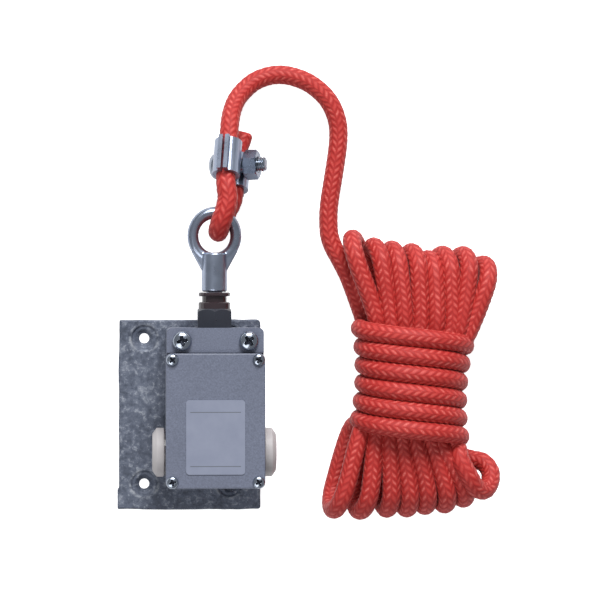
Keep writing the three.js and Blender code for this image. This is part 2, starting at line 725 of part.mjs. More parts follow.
// The folded rope's outer shape: flat fans of bights, drawn from the middle of the wraps between them.
function ropeHank() {
  const at = (shareX, shareY) => [shareX * hankWidth, shareY * hankLength];
  const outline = new THREE.Shape();
  outline.moveTo(...at(-0.327, 0.178));
  outline.bezierCurveTo(...at(-0.358, 0.288), ...at(-0.48, 0.315), ...at(-0.484, 0.466));
  outline.bezierCurveTo(...at(-0.482, 0.493), ...at(-0.469, 0.514), ...at(-0.429, 0.525));
  outline.bezierCurveTo(...at(-0.324, 0.534), ...at(-0.158, 0.493), ...at(-0.013, 0.486));
  outline.bezierCurveTo(...at(0.142, 0.479), ...at(0.342, 0.486), ...at(0.442, 0.438));
  outline.bezierCurveTo(...at(0.531, 0.384), ...at(0.476, 0.26), ...at(0.342, 0.137));
  outline.lineTo(...at(0.302, -0.199));
  outline.bezierCurveTo(...at(0.453, -0.192), ...at(0.52, -0.274), ...at(0.476, -0.342));
  outline.bezierCurveTo(...at(0.442, -0.397), ...at(0.342, -0.39), ...at(0.32, -0.425));
  outline.bezierCurveTo(...at(0.176, -0.459), ...at(-0.047, -0.462), ...at(-0.191, -0.466));
  outline.bezierCurveTo(...at(-0.347, -0.466), ...at(-0.48, -0.479), ...at(-0.491, -0.411));
  outline.bezierCurveTo(...at(-0.513, -0.315), ...at(-0.347, -0.192), ...at(-0.331, -0.137));
  outline.closePath();
  const fans = solid(new THREE.ExtrudeGeometry(outline, {
    depth: hankThickness - 2 * hankRoundEdge,
    bevelThickness: hankRoundEdge,
    bevelSize: hankRoundEdge,
    bevelOffset: -hankRoundEdge,
    bevelSegments: 2,
    curveSegments: 4,
  }).translate(0, 0, hankRoundEdge));
  const half = hankWaistLength / 2;
  const flat = half - ropeRadius;
  const waist = solid(turned([
    [0, -half], [0.9, -half], [1, -flat], [1, flat], [0.9, half], [0, half],
  ], 24).scale(hankWaistWidth / 2, 1, hankWaistHeight / 2)
    .rotateZ(THREE.MathUtils.degToRad(hankTilt))
    .translate(0, 0, hankWaistHeight / 2));
  return fans.add(waist).translate([...hankWaistCentre, 0]);
}

// Half of the rope clip, pressed from sheet: a groove for each strand and a flat for the bolt between.
function clipPlate() {
  const inner = clipPlateGap / 2;
  const outer = inner + clipPlateThickness;
  const centre = strandSpacing / 2;
  const turnIn = Math.acos(inner / clipGrooveIn);
  const turnOut = Math.acos(outer / clipGrooveOut);
  const end = centre + clipGrooveOut + clipLip;
  const outline = new THREE.Shape();
  outline.moveTo(inner, -end);
  outline.lineTo(outer, -end);
  outline.absarc(0, -centre, clipGrooveOut, -turnOut, turnOut, false);
  outline.absarc(0, centre, clipGrooveOut, -turnOut, turnOut, false);
  outline.lineTo(outer, end);
  outline.lineTo(inner, end);
  outline.absarc(0, centre, clipGrooveIn, turnIn, -turnIn, true);
  outline.absarc(0, -centre, clipGrooveIn, turnIn, -turnIn, true);
  outline.closePath();
  const plate = new THREE.ExtrudeGeometry(outline, {
    depth: clipLength, bevelEnabled: false, curveSegments: 7,
  }).translate(0, 0, -clipLength / 2).rotateX(Math.PI / 2);
  const hole = alongX(rod(clipBoltRadius + fitGap, clipGrooveOut + 2, 16), -1, 0, 0);
  return cut(solid(plate), solid(hole));
}

function clipBolt() {
  const head = -clipGrooveOut - seatGap;
  const length = clipBoltReach - head;
  const radius = clipBoltHeadRadius;
  return alongX(turned([
    [0, -clipBoltHeadHeight], [radius * 0.5, -clipBoltHeadHeight], [radius * 0.85, -clipBoltHeadHeight * 0.7],
    [radius, -clipBoltHeadHeight * 0.3], [radius, 0], [clipBoltRadius, 0],
    [clipBoltRadius, length - 0.8], [clipBoltRadius - 0.8, length], [0, length],
  ], 20), head, 0, 0);
}

function clipNut() {
  const corner = clipNutFlats / Math.sqrt(3);
  const hex = solid(new THREE.ExtrudeGeometry(hexOutline(clipNutFlats), {
    depth: clipNutHeight, bevelEnabled: false,
  }).rotateY(Math.PI / 2));
  const rounded = alongX(turned([
    [0, 0], [corner - 0.9, 0], [corner + 0.1, 0.8], [corner + 0.1, clipNutHeight - 0.8],
    [corner - 0.9, clipNutHeight], [0, clipNutHeight],
  ], 24), 0, 0, 0);
  const thread = alongX(rod(clipBoltRadius + fitGap, clipNutHeight + 2, 16), -1, 0, 0);
  return geometryOf(cut(hex.intersect(solid(rounded)), solid(thread)))
    .translate(clipGrooveOut + seatGap, 0, 0);
}

// A blanking plug for the cable entry on the given side, -1 or +1, turned about X.
function blankingPlug(side) {
  const spigot = entryRadius - fitGap;
  const shoulder = plugLength - plugChamfer;
  const body = cut(
    solid(turned([
      [0, -plugWall], [spigot - plugWall, -plugWall], [spigot - plugWall, -plugSpigotLength],
      [spigot, -plugSpigotLength], [spigot, 0], [plugRadius, 0], [plugRadius, shoulder],
      [plugChamferRadius, plugLength], [0, plugLength],
    ], 28)),
    solid(box(
      -plugChamferRadius - 1, plugChamferRadius + 1, plugLength - plugSlotDepth, plugLength + 1,
      -plugSlotWidth / 2, plugSlotWidth / 2,
    )),
  );
  return geometryOf(body).rotateZ((-side * Math.PI) / 2)
    .translate(axisX + side * (housingWidth / 2 + sealThickness), entryY, entryHeight);
}

function plugSeal(side) {
  return tube(entryRadius + fitGap, sealRadius, sealThickness, 20).rotateZ((-side * Math.PI) / 2)
    .translate(axisX + side * (housingWidth / 2), entryY, entryHeight);
}

// A split ring under a screw head, its cut end sprung up a little.
function lockWasher() {
  const ring = solid(alongZ(
    tube(mountScrewRadius + fitGap, lockWasherRadius, lockWasherThickness, 16), 0, 0, 0,
  ));
  return cut(ring, solid(box(0, lockWasherRadius + 1, -0.4, 0.4, -1, lockWasherThickness + 1)));
}

function addHousing() {
  add('mounting_plate', mountingPlate(), galvanised());
  add('housing_body', housingBody(), casting());
  add('cover_gasket', coverGasket(), rubber());
  add('cover', cover(), casting());
  add('label_plate', extruded(roundedOutline(
    axisX - labelWidth / 2, axisX + labelWidth / 2, labelCentreY - labelHeight / 2,
    labelCentreY + labelHeight / 2, labelCorner,
  ), coverFront, coverFront + labelThickness), plain(0x9aa3ab, 0.5));
  coverScrewSpots.forEach(([x, y], index) => {
    const shank = coverFront - baseTop + coverScrewLength - 2;
    const screw = crossScrew(coverScrewRadius, coverScrewHeadHeight, coverScrewShankRadius, shank);
    add(`cover_screw_${index + 1}`, screw, zinc()).position.set(x, y, coverFront);
  });
  for (const [index, side] of [-1, 1].entries()) {
    const x = axisX + (side * mountScrewPitch) / 2;
    const shank = headTop + lockWasherThickness - 1;
    const screw = crossScrew(mountScrewHeadRadius, mountScrewHeadHeight, mountScrewRadius, shank);
    add(`lock_washer_${index + 1}`, lockWasher(), zinc()).position.set(x, mountScrewY, headTop);
    add(`mounting_screw_${index + 1}`, screw, zinc())
      .position.set(x, mountScrewY, headTop + lockWasherThickness);
    const innerScrew = panScrew(
      innerScrewHeadRadius, innerScrewHeadHeight, innerScrewRadius, cavityFloor - 1,
    );
    add(`inner_screw_${index + 1}`, innerScrew, zinc())
      .position.set(axisX + (side * innerScrewPitch) / 2, innerScrewY, cavityFloor);
  }
  for (const [name, side] of [['left', -1], ['right', 1]]) {
    add(`blanking_plug_${name}`, blankingPlug(side), cream());
    add(`plug_seal_${name}`, plugSeal(side), rubber());
  }
}

function addMechanism() {
  const seatTop = springSeatY + springSeatThickness;
  const chamberTop = housingTop - bushSpigotLength;
  add('guide_bush', guideBush(), blackPlastic());
  add('wiper_seal', wiperSeal(), rubber());
  add('pull_rod', pullRod(), zinc());
  add('spring_seat', alongY(
    tube(rodRadius + fitGap, springSeatRadius, springSeatThickness), axisX, springSeatY, rodHeight,
  ), zinc());
  add('retaining_ring', clipRing(), zinc());
  add('return_spring', coilSpring(
    springWire, springMeanRadius, springTurns, seatTop + seatGap, chamberTop - seatGap, rodHeight,
  ), zinc());
  add('pull_eye', pullEye(), zinc());
}

function addContacts() {
  add('contact_block', contactBlock(), blockPlastic());
  add('tappet', tappet(), blackPlastic());
  add('contact_bridge', contactBridge(), brass());
  add('tappet_spring', coilSpring(
    tappetSpringWire, tappetSpringRadius, tappetSpringTurns, blockBottom + blockWall + seatGap,
    bridgeY - seatGap, rodHeight,
  ), zinc());
  let number = 0;
  for (const row of [0, 1]) {
    for (const side of [-1, 1]) {
      number += 1;
      const y = terminalRows[row] + (row ? contactButtonHeight : -contactButtonHeight - terminalThickness);
      const tabX = axisX + side * (blockWidth / 2 + terminalTab / 2);
      const screw = panScrew(
        terminalScrewRadius, terminalScrewHeight, terminalScrewShank, terminalThickness + 1.5,
      );
      add(`terminal_${number}`, terminal(side, row), brass());
      const mesh = add(`terminal_screw_${number}`, screw, zinc());
      mesh.rotation.x = -Math.PI / 2;
      mesh.position.set(tabX, y + terminalThickness, rodHeight);
    }
  }
  const earth = panScrew(earthScrewRadius, innerScrewHeadHeight, innerScrewRadius, floorThickness - 0.5);
  add('earth_screw', earth, brass()).position.set(axisX + innerScrewPitch / 2, earthScrewY, cavityFloor);
}

function addRope() {
  const clip = new THREE.Group();
  clip.position.set(...clipCentre);
  clip.rotation.copy(clipRotation);
  add('clip_plate_right', clipPlate(), zinc(), clip);
  add('clip_plate_left', geometryOf(clipPlate()).rotateY(Math.PI), zinc(), clip);
  add('clip_bolt', clipBolt(), zinc(), clip);
  add('clip_nut', clipNut(), zinc(), clip);
  pullSwitch.add(clip);
  add('rope_lead', ropeLead(), redRope());
  add('rope_hank', ropeHank(), redRope());
}

addHousing();
addMechanism();
addContacts();
addRope();

export default pullSwitch;
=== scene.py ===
"""Looks of the ceiling pull switch: camera, rope, surface detail, materials and light, in metres."""
from math import atan2, cos, pi, radians, sin, sqrt

import bpy
import bmesh
import numpy as np
from mathutils import Matrix, Vector, noise


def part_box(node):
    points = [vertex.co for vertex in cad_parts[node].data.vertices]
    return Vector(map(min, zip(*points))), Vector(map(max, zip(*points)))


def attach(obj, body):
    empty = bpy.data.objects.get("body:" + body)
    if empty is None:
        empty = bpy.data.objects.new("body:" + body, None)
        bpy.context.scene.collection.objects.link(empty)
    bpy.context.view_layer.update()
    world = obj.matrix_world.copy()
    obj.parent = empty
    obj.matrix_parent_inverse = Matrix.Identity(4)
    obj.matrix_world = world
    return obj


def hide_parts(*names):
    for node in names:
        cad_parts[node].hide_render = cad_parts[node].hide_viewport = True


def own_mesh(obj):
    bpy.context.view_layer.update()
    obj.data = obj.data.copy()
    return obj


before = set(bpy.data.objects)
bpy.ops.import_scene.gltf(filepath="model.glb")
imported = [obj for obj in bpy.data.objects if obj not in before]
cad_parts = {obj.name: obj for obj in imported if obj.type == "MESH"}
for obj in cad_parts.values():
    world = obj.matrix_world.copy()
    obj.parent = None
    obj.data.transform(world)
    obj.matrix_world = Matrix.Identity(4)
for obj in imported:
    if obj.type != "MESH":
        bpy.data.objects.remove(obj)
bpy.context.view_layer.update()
noise.seed_set(5)
MM = 0.001
scene = bpy.context.scene

# Camera and light: the camera is above the plate, leaning a little to the left
VIEW_CENTRE = Vector((55.6, 57.0, 0)) * MM
VIEW_DISTANCE = 1.5
VIEW_LEAN = radians(3.5)
VIEW_WIDTH = 0.3
SENSOR = 36
LAMPS = [("key", (0.19, 2.3, 1.86), 1.35, 116), ("fill", (-0.3, -0.5, 0.9), 0.6, 3.6)]
SKY = ((0.93, 0.96, 1, 1), 0.3)
FLOOR_SIZE = 6
FLOOR_TONE = (0.88, 0.88, 0.88, 1)
FLOOR_GLOW = 0.8
FLOOR_DROP = 0.0002

# Rope. A plait is one column of stitches along it.
ROPE_DIAMETER = 9.3 * MM
ROPE_PLAITS = 10
ROPE_STEP = 0.95
ROPE_SIDES = 24
STITCH = 3.5 * MM
STITCH_SLANT = 0.76
STITCH_WIDTH = 0.36
STITCH_STAGGER = 0.2
STAGGER_TURN = 2.4
STITCH_HEIGHT = 0.22 * MM
LOOP_FRONT = Vector((16.4, 100, 33.4))   # where the rope bulges in front of the eye
LOOP_REACH = 17
LOOP_SWELL = 0.09
CLIP_CENTRE = Vector((20.6, 123.2, 19))
CLIP_TURN = (radians(-22), radians(-18), radians(-5))
CLIP_LENGTH = 18
STRAND_SPACING = 17.2
STUB_ROUTE = [(27.5, 140.5, 4.5), (26.6, 136.9, 5), (25.4, 134, 5.8)]
EYE_ROUTE = [
    (21.2, 105.4, 15.3), (18.8, 100.5, 14.9), (16.3, 95.3, 16.4), (14.7, 91.7, 19.7), (13.9, 90.4, 24.2),
    (13.9, 91.5, 29), (15, 95.3, 32.2), (16.9, 100.7, 33.4), (18.2, 106.6, 33.1), (17.6, 112, 32.6),
]
ARCH_ROUTE = [
    (20, 145.6, 18.6), (21.3, 151.2, 14.4), (23.7, 156.7, 10.6), (27.5, 161.4, 7.6), (32.3, 165.5, 5.7),
    (37.4, 167.9, 4.8), (42.9, 169.1, 4.5), (48.3, 169, 4.5), (53.8, 167.7, 4.5), (59.3, 165.4, 4.5),
    (64.6, 161.7, 4.5), (69.1, 157, 4.5), (72.3, 151.3, 4.5), (74.2, 144.8, 4.5), (74.5, 137.8, 4.5),
    (73.8, 130.3, 4.5), (72.7, 122.9, 4.5), (71.5, 115.4, 4.5), (70.3, 107.9, 4.5), (69.6, 101.4, 4.5),
    (69.5, 96.4, 4.5), (70, 89.3, 4.6), (72, 83.4, 4.8), (75, 77.9, 5), (79.3, 69.4, 5.5), (83, 59.5, 7),
]

# Folded rope. Each top fold: its furthest point, where its strand leaves the wraps, and how far the
# upper strand lies to the right of the lower one; then the same for the bottom folds.
TOP_FOLDS = [
    ((80.6, 87.3), 92, -5), ((91, 83.4), 98.4, 4), ((100, 81.9), 105, 4),
    ((109.8, 80.6), 112.6, 5), ((118.2, 77.2), 120, 5), ((125.2, 79.4), 127.4, 6.5),
    ((135.6, 79.2), 131, 6.5), ((146, 74.5), 135.4, 7),
]
BOTTOM_FOLDS = [
    ((71, -46.5), 84, 4), ((84, -47.1), 91.5, 6), ((97.4, -46.2), 97.9, 4), ((107.4, -46.1), 104, 4),
    ((116.5, -44.9), 110.9, 4), ((126.4, -44.2), 118.4, 4.5), ((135.8, -41.4), 122.8, 5),
]
SIDE_FOLD = [
    (135, -20.5, 9.5), (140.6, -22.4, 11), (145.8, -23.6, 14), (149, -28, 17.5), (148.4, -33.4, 21.5),
    (145, -36.8, 26), (140.4, -35.2, 30.5), (136.6, -29.4, 34), (132.4, -21.5, 33),
]
SIDE_FOLD_ROOTS = (131, 129)      # where its upper and lower strands enter the wraps
FIRST_STRAND_X = 87
FOLD_RADIUS = 12.5
FOLD_CENTRE_Z = 17.1
LOWER_STRAND_Z = 10.5
UPPER_STRAND_LIFT = 7.6
WAIST_CENTRE = (109.2, 16)
WAIST_SLANT = 0.15
WAIST_STATIONS = ((-2, 5.4), (16, 4.4), (33, 5.4))
WAIST_LEVELS = (10.2, 4.6)
TOP_EDGE = (47.5, -0.17, 84)      # height of the wraps' edge, its slope, and the x where it has that height
BOTTOM_EDGE = (-7, -0.15, 80)
WRAPS = 6
WRAP_STEPS = 16
WRAP_LEAD_IN = [(132, 55, 5), (122, 47.5, 4.6), (110, 44, 4.5), (98, 43.4, 5.5)]
WRAP_START = (110.3, 43)
WRAP_PITCH = 8.95
WRAP_DRIFT = 0.46
WRAP_DROP = 8.7
WRAP_NARROWEST = 23.4
WRAP_FLARE = 0.34
WRAP_HEIGHT = 19.3
WRAP_CENTRE_Z = 23.8

# Pull eye
SHANK_RADIUS = 6.25
SHANK_LENGTH = 19.2
RING_RADIUS = 10.55
WIRE_RADIUS = 2.8
RING_STRETCH = 1.07
SHOULDER = 8.6
SHOULDER_SPREAD = 11.3
SHOULDER_LAND = 0.6
WEB_INSET = 0.35
EYE_BEVEL = 0.7
EYE_VOXEL = 0.27
EYE_EASE = 8

# Plate
PLATE_HOLE_X = (-22.2, 20.2)
PLATE_HOLE_Y = (-34.4, 38)
PLATE_RING = 6.9
PLATE_VOXEL = 0.45
PLATE_EASE = 3
PLATE_WAVE = 0.42
PLATE_WAVE_LENGTH = 13
PLATE_LUMPS = 0.12
PLATE_RIM = 0.8                   # the waves start at this share of the half width

# Screws: head radius and height, shank radius, turn of the cross in degrees for each
MOUNTING_SCREWS = (4.7, 3.2, 2.45, (12, 38))
COVER_SCREWS = (3, 2, 1.5, (40, 15, 65, 30))
ROUND_SIDES = 120

# Cross recess, as shares of the head's radius; its depth and the crown's as shares of the height
CROSS_REACH = 0.56
CROSS_WIDTH = 0.21
CROSS_TAPER = 0.06
CROSS_SLOPE = 0.05
CROSS_DEPTH = 0.72
CROWN_FALL = 0.42
CROWN_RIM_FALL = 0.3
CROWN_RIM = 0.8

# Clip bolt, along its axis from the clip's middle
GROOVE_REACH = 6.8
BOLT_PITCH = 1.25
BOLT_CORE = 3.8
BOLT_END = 17.6
BOLT_THREAD_DEPTH = 0.62
BOLT_THREAD_START = 4
BOLT_HEAD = [(0.02, 3.8), (2.6, 3.75), (4.6, 3.2), (5.8, 2.2), (6.4, 1.1), (6.5, 0.5), (6.45, 0)]

# Blanking plug: face, crisp chamfer, flange and spigot
PLUG_FLANGE = 5.8
PLUG_FACE = [(0.02, 0), (8.9, 0), (9.2, -0.05), (9.45, -0.2)]
PLUG_CHAMFER = [(-0.3, -1.85), (-0.1, -2.05), (0, -2.3)]    # in from the flange's edge, and height
PLUG_SPIGOT = 9.8

# Colours
# The first rope colour is painted shade: the darker red put between the stitches, where the braid's hollows
# lie in shade.
ROPE_VALLEY_SHADE = (0.34, 0.014, 0.012, 1)
ROPE_DEEP = (0.405, 0.021, 0.017, 1)
ROPE_RED = (0.46, 0.032, 0.026, 1)
ROPE_GLINT = (0.68, 0.165, 0.14, 1)
PAINT_GREY = (0.122, 0.137, 0.190)
LABEL_GREYS = ((0.192, 0.212, 0.284), (0.218, 0.238, 0.312))
RULE_GREY = (0.08, 0.09, 0.1, 1)
GALVANISED_TONES = [
    (0.38, (0.050, 0.060, 0.085)), (0.47, (0.082, 0.096, 0.134)), (0.55, (0.118, 0.136, 0.182)),
    (0.64, (0.19, 0.21, 0.26)),
]
ZINC_SPECK = (0.42, 0.44, 0.48, 1)
ZINC_BLOOM = (0.36, 0.38, 0.41, 1)
ZINC_FINISHES = {
    "zinc_plate": ((0.37, 0.42, 0.53), (0.22, 0.40)),
    "bright_zinc": ((0.34, 0.38, 0.45), (0.16, 0.28)),
    "blue_zinc": ((0.20, 0.24, 0.33), (0.2, 0.34)),
    "recess_shade": ((0.035, 0.04, 0.055), (0.4, 0.5)),
    "contact_brass": ((0.62, 0.44, 0.19), (0.25, 0.4)),
}
MOULDED_FINISHES = {
    "black_rubber": ((0.034, 0.023, 0.027), 0.14),
    "black_plastic": ((0.028, 0.031, 0.042), 0.3),
    "cream_plastic": ((0.46, 0.435, 0.44), 0.55),
    "block_plastic": ((0.46, 0.44, 0.38), 0.5),
}


def add_camera():
    data = bpy.data.cameras.new("camera")
    data.sensor_width = SENSOR
    data.lens = SENSOR * VIEW_DISTANCE / VIEW_WIDTH
    camera = bpy.data.objects.new("camera", data)
    camera.location = VIEW_CENTRE + VIEW_DISTANCE * Vector((-sin(VIEW_LEAN), 0, cos(VIEW_LEAN)))
    camera.rotation_euler = (0, -VIEW_LEAN, 0)
    scene.collection.objects.link(camera)
    scene.camera = camera


def clip_matrix():
    pitch, roll, yaw = CLIP_TURN
    return Matrix.Rotation(yaw, 3, "Z") @ Matrix.Rotation(pitch, 3, "X") @ Matrix.Rotation(roll, 3, "Y")


def clip_strand(side, upward):
    turn = clip_matrix()
    sign = 1 if upward else -1
    return [
        tuple(turn @ Vector((0, sign * share * CLIP_LENGTH, side * STRAND_SPACING / 2)) + CLIP_CENTRE)
        for share in (-0.62, -0.31, 0, 0.31, 0.62)
    ]


def smooth_path(points, step):
    """A centripetal Catmull-Rom curve through the points, resampled at an even step."""
    p = np.array(points, float)
    p = np.vstack([2 * p[0] - p[1], p, 2 * p[-1] - p[-2]])
    pieces = []
    for a, b, c, d in zip(p[:-3], p[1:-2], p[2:-1], p[3:]):
        t1 = max(np.linalg.norm(b - a) ** 0.5, 1e-6)
        t2 = t1 + max(np.linalg.norm(c - b) ** 0.5, 1e-6)
        t3 = t2 + max(np.linalg.norm(d - c) ** 0.5, 1e-6)
        t = np.linspace(t1, t2, 24, endpoint=False)[:, None]
        ab = (t1 - t) / t1 * a + t / t1 * b
        bc = (t2 - t) / (t2 - t1) * b + (t - t1) / (t2 - t1) * c
        cd = (t3 - t) / (t3 - t2) * c + (t - t2) / (t3 - t2) * d
        abc = (t2 - t) / t2 * ab + t / t2 * bc
        bcd = (t3 - t) / (t3 - t1) * bc + (t - t1) / (t3 - t1) * cd
        pieces.append((t2 - t) / (t2 - t1) * abc + (t - t1) / (t2 - t1) * bcd)
    line = np.vstack([*pieces, p[-2][None]])
    run = np.concatenate([[0], np.cumsum(np.linalg.norm(np.diff(line, axis=0), axis=1))])
    even = np.linspace(0, run[-1], max(2, round(run[-1] / step)))
    return np.column_stack([np.interp(even, run, line[:, k]) for k in range(3)])


def waist_middle(y):
    return WAIST_CENTRE[0] + WAIST_SLANT * (y - WAIST_CENTRE[1])


def exit_y(x, outward):
    """Where a strand meets the edge of the wraps, which slope down to the right."""
    height, slope, start = TOP_EDGE if outward > 0 else BOTTOM_EDGE
    return height + slope * (x - start)


def through_waist(order, level, bottom_x, top_x, upward):
    """A strand inside the wraps. Its order counts from the left; neighbours lie at two heights."""
    middle = order - (len(TOP_FOLDS) - 1) / 2
    vault = sqrt(1 - (middle / 5) ** 2)
    depth = WAIST_LEVELS[int(order + 1) % 2] * vault
    outer_z = WRAP_CENTRE_Z + UPPER_STRAND_LIFT * vault if level > 0 else LOWER_STRAND_Z
    points = [
        (bottom_x, exit_y(bottom_x, -1), outer_z),
        *((waist_middle(y) + middle * pitch, y, WRAP_CENTRE_Z + level * depth)
          for y, pitch in WAIST_STATIONS),
        (top_x, exit_y(top_x, 1), outer_z),
    ]
    return points if upward else points[::-1]


def lower_exit(fold):
    return fold[1] - 0.85 * fold[2]


def bight(fold, outward, rising):
    """A fold at the end of the hank: an upright half circle, leaning so that both strands show."""
    (tip_x, tip_y), exit_x, lean = fold
    root = Vector(((exit_x + lower_exit(fold)) / 2, exit_y(exit_x, outward)))
    along = (Vector((tip_x, tip_y)) - root).normalized()
    aside = Vector((along.y, -along.x)) * outward
    centre = Vector((tip_x, tip_y)) - along * FOLD_RADIUS
    points = []
    for step in range(-3, 4):
        angle = step * pi / 6
        place = centre + along * FOLD_RADIUS * cos(angle) + aside * lean / 2 * sin(angle)
        points.append((place.x, place.y, FOLD_CENTRE_Z + FOLD_RADIUS * sin(angle)))
    return points if rising else points[::-1]


def folded_rope():
    """Strand by strand from the lead's end: down through the wraps, over at the bottom fold, and back."""
    points = []
    for index, top in enumerate(TOP_FOLDS):
        came_from = TOP_FOLDS[index - 1] if index else None
        top_x = lower_exit(came_from) if came_from else FIRST_STRAND_X
        if index < len(BOTTOM_FOLDS):
            bottom = BOTTOM_FOLDS[index]
            turn, bottom_x, bottom_lower = bight(bottom, -1, True), bottom[1], lower_exit(bottom)
        else:
            turn, (bottom_x, bottom_lower) = SIDE_FOLD, SIDE_FOLD_ROOTS
        points += through_waist(index - 0.5, -1, bottom_lower, top_x, False)
        points += turn
        points += through_waist(index, 1, bottom_x, top[1], True)
        points += bight(top, 1, False)
    return points


def wraps():
    """The turns round the waist, sloping down to the right on top and level underneath."""
    start_x, start_y = WRAP_START
    points = list(WRAP_LEAD_IN)
    for count in range(-2, WRAPS * WRAP_STEPS - 3):
        turn, share = divmod(count / WRAP_STEPS, 1)
        over = min(2 * share, 1)
        level = max(2 * share - 1, 0)
        drop = WRAP_DROP * over - (WRAP_DROP - WRAP_PITCH) * level
        half = WRAP_NARROWEST + WRAP_FLARE * (count / WRAP_STEPS - WRAPS / 2) ** 2
        angle = 2 * pi * share
        points.append((
            start_x - WRAP_DRIFT * count / WRAP_STEPS - half * cos(angle), start_y - WRAP_PITCH * turn - drop,
            WRAP_CENTRE_Z + WRAP_HEIGHT * sin(angle),
        ))
    return points


def rope_path():
    lead = [*STUB_ROUTE, *clip_strand(-1, False), *EYE_ROUTE, *clip_strand(1, True), *ARCH_ROUTE]
    return np.array([*lead, *folded_rope(), *wraps()])


def stitch_height(around, along):
    """Height of the braid, 0 to 1, from the place round the rope in plaits and along it in stitches."""
    across = around % 1 - 0.5
    side = 1 - 2 * (np.floor(around) % 2)
    shift = STITCH_STAGGER * np.sin(STAGGER_TURN * np.floor(around))
    lengthwise = (along + shift + across * side * STITCH_SLANT) % 1 - 0.5
    wide = 1 - np.abs(2 * across) ** 3
    long = 1 - np.abs(lengthwise / STITCH_WIDTH) ** 2
    return np.maximum(wide * np.maximum(long, 0), 0) ** 0.7


def sweep(name, path, radius, sides):
    """The rope: a tube with a raised braid, its UV map counting plaits round it and stitches along it."""
    n = len(path)
    tangent = np.gradient(path, axis=0)
    tangent /= np.linalg.norm(tangent, axis=1)[:, None]
    normal = np.zeros_like(path)
    normal[0] = np.cross(tangent[0], [0, 0, 1])
    normal[0] /= np.linalg.norm(normal[0])
    for i in range(1, n):
        kept = normal[i - 1] - tangent[i] * np.dot(normal[i - 1], tangent[i])
        normal[i] = kept / np.linalg.norm(kept)
    binormal = np.cross(tangent, normal)
    run = np.concatenate([[0], np.cumsum(np.linalg.norm(np.diff(path, axis=0), axis=1))]) / STITCH
    plait = np.arange(sides + 1) * ROPE_PLAITS / sides
    angle = plait[:-1] * 2 * pi / ROPE_PLAITS
    ring = normal[:, None] * np.cos(angle)[None, :, None] + binormal[:, None] * np.sin(angle)[None, :, None]
    near = np.linalg.norm(path / MM - np.array(LOOP_FRONT), axis=1) / LOOP_REACH
    swell = 1 + LOOP_SWELL * np.clip(1.3 - near, 0, 1)
    raised = radius * swell[:, None] + STITCH_HEIGHT * (stitch_height(plait[None, :-1], run[:, None]) - 0.6)
    raised[:2] *= np.array([[0.7], [0.93]])
    raised[-2:] *= np.array([[0.93], [0.7]])
    verts = (path[:, None] + ring * raised[..., None]).reshape(-1, 3)
    i = np.arange(n - 1)[:, None]
    j = np.arange(sides)[None, :]
    k = (j + 1) % sides
    faces = np.stack([i * sides + j, (i + 1) * sides + j, (i + 1) * sides + k, i * sides + k], axis=-1)
    faces = faces.reshape(-1, 4)
    caps = [list(range(sides)), [(n - 1) * sides + s for s in reversed(range(sides))]]
    mesh = bpy.data.meshes.new(name)
    mesh.from_pydata(verts.tolist(), [], faces.tolist() + caps)
    uv = np.zeros((len(mesh.loops), 2), np.float32)
    still = np.zeros_like(i + j)
    columns = np.stack([j + still, j + still, j + 1 + still, j + 1 + still], axis=-1).reshape(-1)
    rows = np.stack([i + still, i + 1 + still, i + 1 + still, i + still], axis=-1).reshape(-1)
    uv[:len(columns), 0] = plait[columns]
    uv[:len(columns), 1] = run[rows]
    mesh.uv_layers.new(name="rope").data.foreach_set("uv", uv.ravel())
    mesh.polygons.foreach_set("use_smooth", [True] * len(faces) + [False, False])
    return linked(name, mesh)


def linked(name, mesh):
    obj = bpy.data.objects.new(name, mesh)
    scene.collection.objects.link(obj)
    return obj


def revolved(name, rows, sides, place, field=None):
    """Rings of (radius, height) round +Z, closed at both ends; the field adds to the height of a point."""
    verts, faces = [], []
    for radius, height in rows:
        for s in range(sides):
            angle = 2 * pi * s / sides
            x, y = radius * cos(angle), radius * sin(angle)
            lift = field(x, y, height) if field else 0
            verts.append(place @ Vector((x, y, height + lift)))
    for r in range(len(rows) - 1):
        for s in range(sides):
            t = (s + 1) % sides
            faces.append((r * sides + s, (r + 1) * sides + s, (r + 1) * sides + t, r * sides + t))
    faces.append(tuple(range(sides)))
    faces.append(tuple((len(rows) - 1) * sides + s for s in reversed(range(sides))))
    mesh = bpy.data.meshes.new(name)
    mesh.from_pydata([v * MM for v in verts], [], faces)
    mesh.validate()
    face_outward(mesh)
    smooth(mesh)
    return linked(name, mesh)


def face_outward(mesh):
    fix = bmesh.new()
    fix.from_mesh(mesh)
    bmesh.ops.recalc_face_normals(fix, faces=fix.faces)
    fix.to_mesh(mesh)
    fix.free()


def smooth(mesh, angle=32):
    mesh.polygons.foreach_set("use_smooth", [True] * len(mesh.polygons))
    mesh.set_sharp_from_angle(angle=radians(angle))


def fused(name, pieces, voxel, rounds):
    """One skin over overlapping closed pieces, with soft fillets where they meet."""
    together = bmesh.new()
    for piece in pieces:
        together.from_mesh(piece)
    mesh = bpy.data.meshes.new(name)
    together.to_mesh(mesh)
    together.free()
    obj = linked(name, mesh)
    skin = obj.modifiers.new("skin", "REMESH")
    skin.mode = "VOXEL"
    skin.voxel_size = voxel * MM
    ease = obj.modifiers.new("ease", "SMOOTH")
    ease.iterations = rounds
    done = bpy.data.meshes.new_from_object(obj.evaluated_get(bpy.context.evaluated_depsgraph_get()))
    obj.modifiers.clear()
    obj.data = done
    done.polygons.foreach_set("use_smooth", [True] * len(done.polygons))
    return obj


def settle(obj, body, slot, material, *nodes):
    obj.data.materials.append(material)
    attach(obj, body)
    if nodes:
        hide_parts(*nodes)
    return obj


